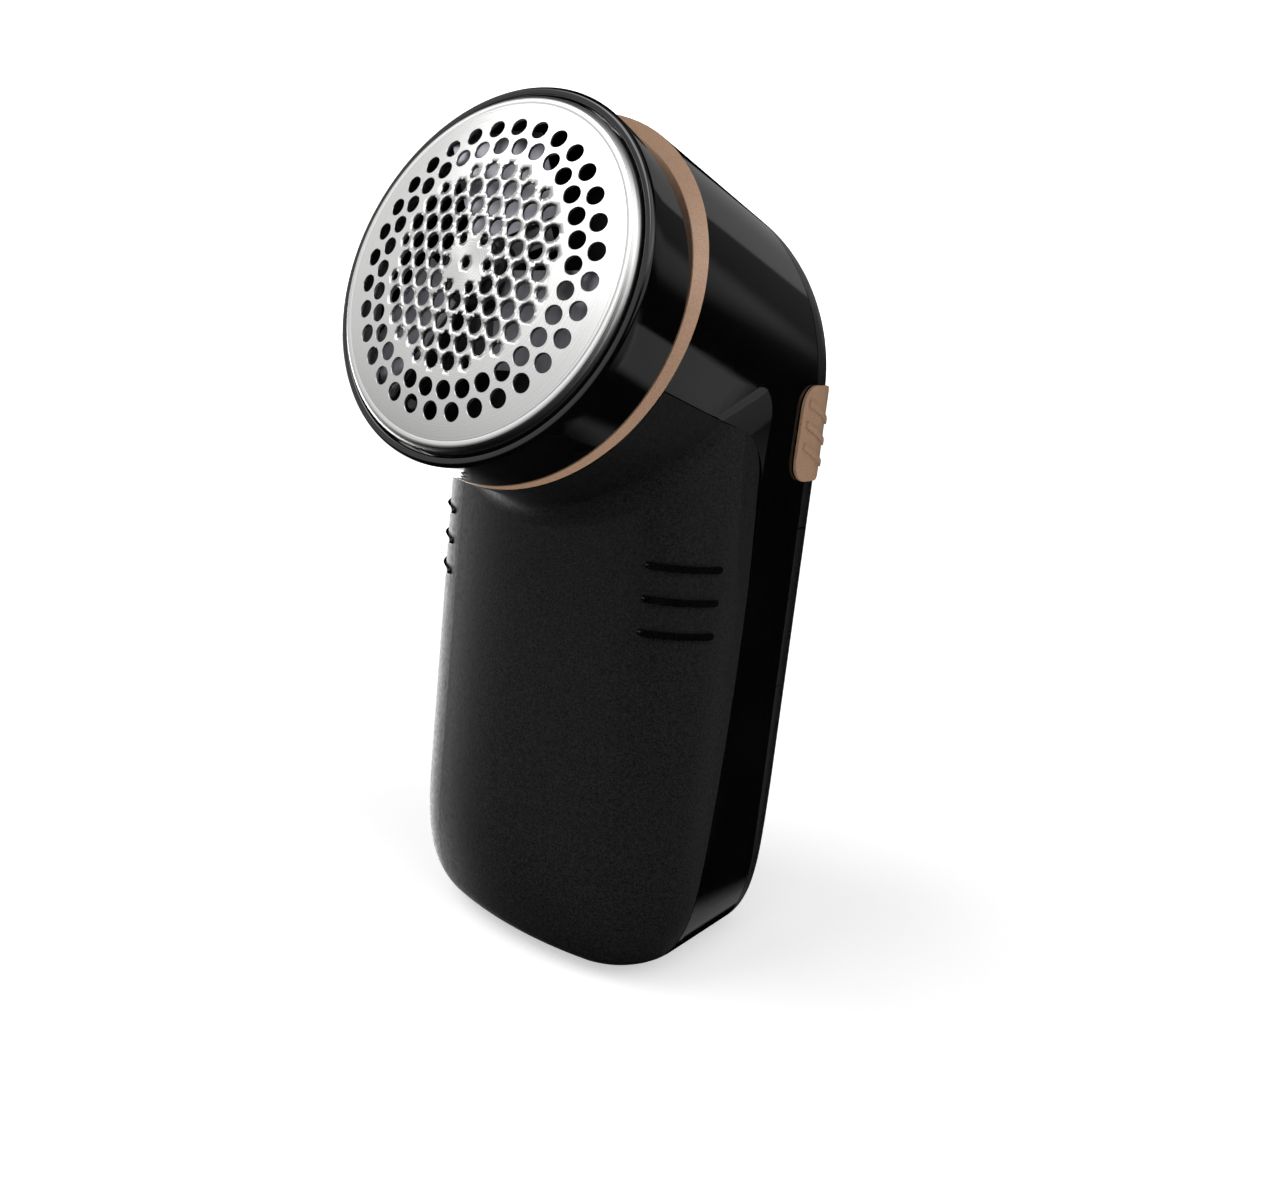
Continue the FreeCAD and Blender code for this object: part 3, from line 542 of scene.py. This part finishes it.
# ---------------------------------------------------------------- collar
COLLAR_FRONT = -1.9
COLLAR_BACK = -11.65
COLLAR_R = 27.0
COLLAR_BORE = 25.6
SKIRT_BORE = 26.3           # the collar is wider inside, behind the mesh's flange
FRONT_ROUND = 0.65
BORE_ROUND = 0.35
BACK_CHAMFER = 0.15
STEP_FRONT = -5.0           # where the bore widens
STEP_BACK = -5.6
SIDE_RINGS = (-4.5, -8.0)   # extra points that keep the side's shading straight
LIP_FACING = 0.8


def retaining_collar():
    profile = [(COLLAR_BORE, STEP_FRONT), (COLLAR_BORE, COLLAR_FRONT - BORE_ROUND)]
    profile += arc_points(COLLAR_BORE + BORE_ROUND, COLLAR_FRONT - BORE_ROUND, BORE_ROUND, 180, 90, 5)
    profile += arc_points(COLLAR_R - FRONT_ROUND, COLLAR_FRONT - FRONT_ROUND, FRONT_ROUND, 90, 0, 10)
    profile += [(COLLAR_R, height) for height in SIDE_RINGS]
    profile += [
        (COLLAR_R, COLLAR_BACK + BACK_CHAMFER), (COLLAR_R - BACK_CHAMFER, COLLAR_BACK),
        (SKIRT_BORE, COLLAR_BACK), (SKIRT_BORE, STEP_BACK),
    ]
    obj = lathe("collar_ring", profile, 320)
    dress(obj, "collar_gloss")
    obj.data.materials.append(lip_black())
    for polygon in obj.data.polygons:
        if polygon.normal.z > LIP_FACING:
            polygon.material_index = 1
    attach(obj, "collar")
    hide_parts("retaining_collar")


retaining_collar()

# ---------------------------------------------------------------- camera, light, floor
# the camera was fitted to the holes of the shaving mesh
CAMERA_AT = Vector((0.1155, -0.1574, 0.1102))
CAMERA_BACK = Vector((0.5584, -0.7917, 0.2475)).normalized()
CAMERA_RIGHT = Vector((0.7948, 0.5961, 0.1138))
CAMERA_LENS = 32.85
FILM_WIDTH = 36


def camera():
    data = bpy.data.cameras.new("camera")
    obj = bpy.data.objects.new("camera", data)
    scene.collection.objects.link(obj)
    up = CAMERA_BACK.cross(CAMERA_RIGHT).normalized()
    right = up.cross(CAMERA_BACK).normalized()
    turn = Matrix((right, up, CAMERA_BACK)).transposed().to_4x4()
    obj.matrix_world = Matrix.Translation(CAMERA_AT) @ turn
    data.sensor_width = FILM_WIDTH
    data.lens = CAMERA_LENS
    data.clip_start = 0.005
    data.clip_end = 20
    scene.camera = obj


class Sky:
    """The studio round the object: soft boxes painted on the world by direction."""

    def __init__(self):
        self.world = bpy.data.worlds.new("studio")
        self.world.use_nodes = True
        self.tree = self.world.node_tree
        coords = self.tree.nodes.new("ShaderNodeTexCoord")
        split = self.tree.nodes.new("ShaderNodeSeparateXYZ")
        self.tree.links.new(coords.outputs["Generated"], split.inputs["Vector"])
        self.direction = coords.outputs["Generated"]
        self.elevation = self.math("ARCSINE", split.outputs["Z"])
        self.total = None
        scene.world = self.world

    def math(self, operation, a, b=None):
        node = self.tree.nodes.new("ShaderNodeMath")
        node.operation = operation
        for value, socket in zip((a, b), node.inputs):
            if value is None:
                continue
            if isinstance(value, (int, float)):
                socket.default_value = value
            else:
                self.tree.links.new(value, socket)
        return node.outputs["Value"]

    def along(self, vector):
        node = self.tree.nodes.new("ShaderNodeVectorMath")
        node.operation = "DOT_PRODUCT"
        self.tree.links.new(self.direction, node.inputs[0])
        node.inputs[1].default_value = vector
        return node.outputs["Value"]

    def edge(self, value, dark, bright):
        """0 where value is at dark, 1 where it is at bright, smooth in between; degrees."""
        node = self.tree.nodes.new("ShaderNodeMapRange")
        node.interpolation_type = "SMOOTHSTEP"
        node.inputs["From Min"].default_value = math.radians(dark)
        node.inputs["From Max"].default_value = math.radians(bright)
        self.tree.links.new(value, node.inputs["Value"])
        return node.outputs["Result"]

    def box(self, azimuth, half, soft, low, high, level):
        """A soft box. Azimuth 0 is the front and 90 the slider's side; low and high are
        (dark, bright) elevations of its lower and upper edge."""
        turn = math.radians(azimuth)
        ahead = self.along((math.sin(turn), -math.cos(turn), 0))
        across = self.along((math.cos(turn), math.sin(turn), 0))
        off = self.math("ABSOLUTE", self.math("ARCTAN2", across, ahead))
        light = self.edge(off, half + soft, half)
        if low:
            light = self.math("MULTIPLY", light, self.edge(self.elevation, *low))
        if high:
            light = self.math("MULTIPLY", light, self.edge(self.elevation, *high))
        light = self.math("MULTIPLY", light, level)
        self.total = light if self.total is None else self.math("ADD", self.total, light)

    def finish(self):
        background = self.tree.nodes["Background"]
        background.inputs["Color"].default_value = (1, 1, 1, 1)
        self.tree.links.new(self.total, background.inputs["Strength"])


def stage_disc(name, profile, glow):
    """A round piece of the studio, from (radius, height) points in metres. It glows, so that
    it stays white, and it is left out of reflections and casts no shadow."""
    around = 96
    verts, faces = [], []
    for reach, height in profile:
        for k in range(around):
            angle = 2 * math.pi * k / around
            verts.append((reach * math.cos(angle), reach * math.sin(angle), height))
    for row in range(len(profile) - 1):
        for k in range(around):
            j = (k + 1) % around
            base = row * around
            faces.append((base + k, base + around + k, base + around + j, base + j))
    flat = profile[0][1] == profile[-1][1]
    if flat:
        faces.append(tuple(range(around)))
    obj = new_object(name, verts, faces)
    paint = Paint(name)
    paint.colour(paint.noise(14, 3), (0.78, 0.78, 0.78), (0.80, 0.80, 0.80))
    paint.roughness(paint.noise(90, 2), 0.7, 0.8)
    paint.set(Emission_Color=(1, 1, 1, 1), Emission_Strength=glow)
    paint.material.cycles.emission_sampling = "NONE"
    obj.data.materials.append(paint.material)
    obj.visible_glossy = False
    obj.visible_shadow = False
    return obj


def backdrop():
    """White floor, and a white wall round it that curves up from its edge."""
    radius, bend, top = 2.2, 0.5, 1.7
    middle, flat_reach = 0.3, radius - bend
    stage_disc("floor", [(middle, 0.0), (flat_reach, 0.0)], 0.50)
    curve = arc_points(flat_reach, bend, bend, -90, 0, 8)
    wall = stage_disc("wall", curve + [(radius, top)], 1.0)
    wall.visible_diffuse = False


def studio():
    backdrop()
    sky = Sky()
    sky.box(-50, 34, 30, (-14, 10), (56, 42), 0.88)      # front left, seen in the mesh
    sky.box(-36, 20, 10, (36, 46), (76, 66), 4.6)        # key, above it
    sky.box(50, 34, 26, (30, 44), (78, 66), 1.9)         # fill, above the camera
    sky.box(92, 30, 14, (0, 14), (58, 44), 0.9)          # side, in the mesh's rolled edge
    sky.box(192, 14, 2, (2, 8), (40, 30), 0.27)          # behind, in the barrel and collar
    sky.box(168, 8, 16, (-4, 14), (34, 28), 0.09)        # its soft near side
    sky.box(154, 3, 6, (4, 12), (30, 24), 0.18)
    sky.box(142, 5.5, 1.5, (-31, -26), (-9, -11), 0.44)  # card low on the right
    sky.box(124, 10, 5, (-34, -20), (-2, -8), 0.30)      # its near part, in the band
    sky.box(-115, 22, 14, (-45, -30), (2, -8), 4.5)      # rim, back left
    sky.box(165, 12, 6, (-58, -50), (-32, -38), 0.25)    # glint under the rounded end
    sky.box(0, 180, 10, (60, 85), None, 0.3)             # overhead
    sky.finish()


camera()
studio()
scene.view_settings.view_transform = "Standard"
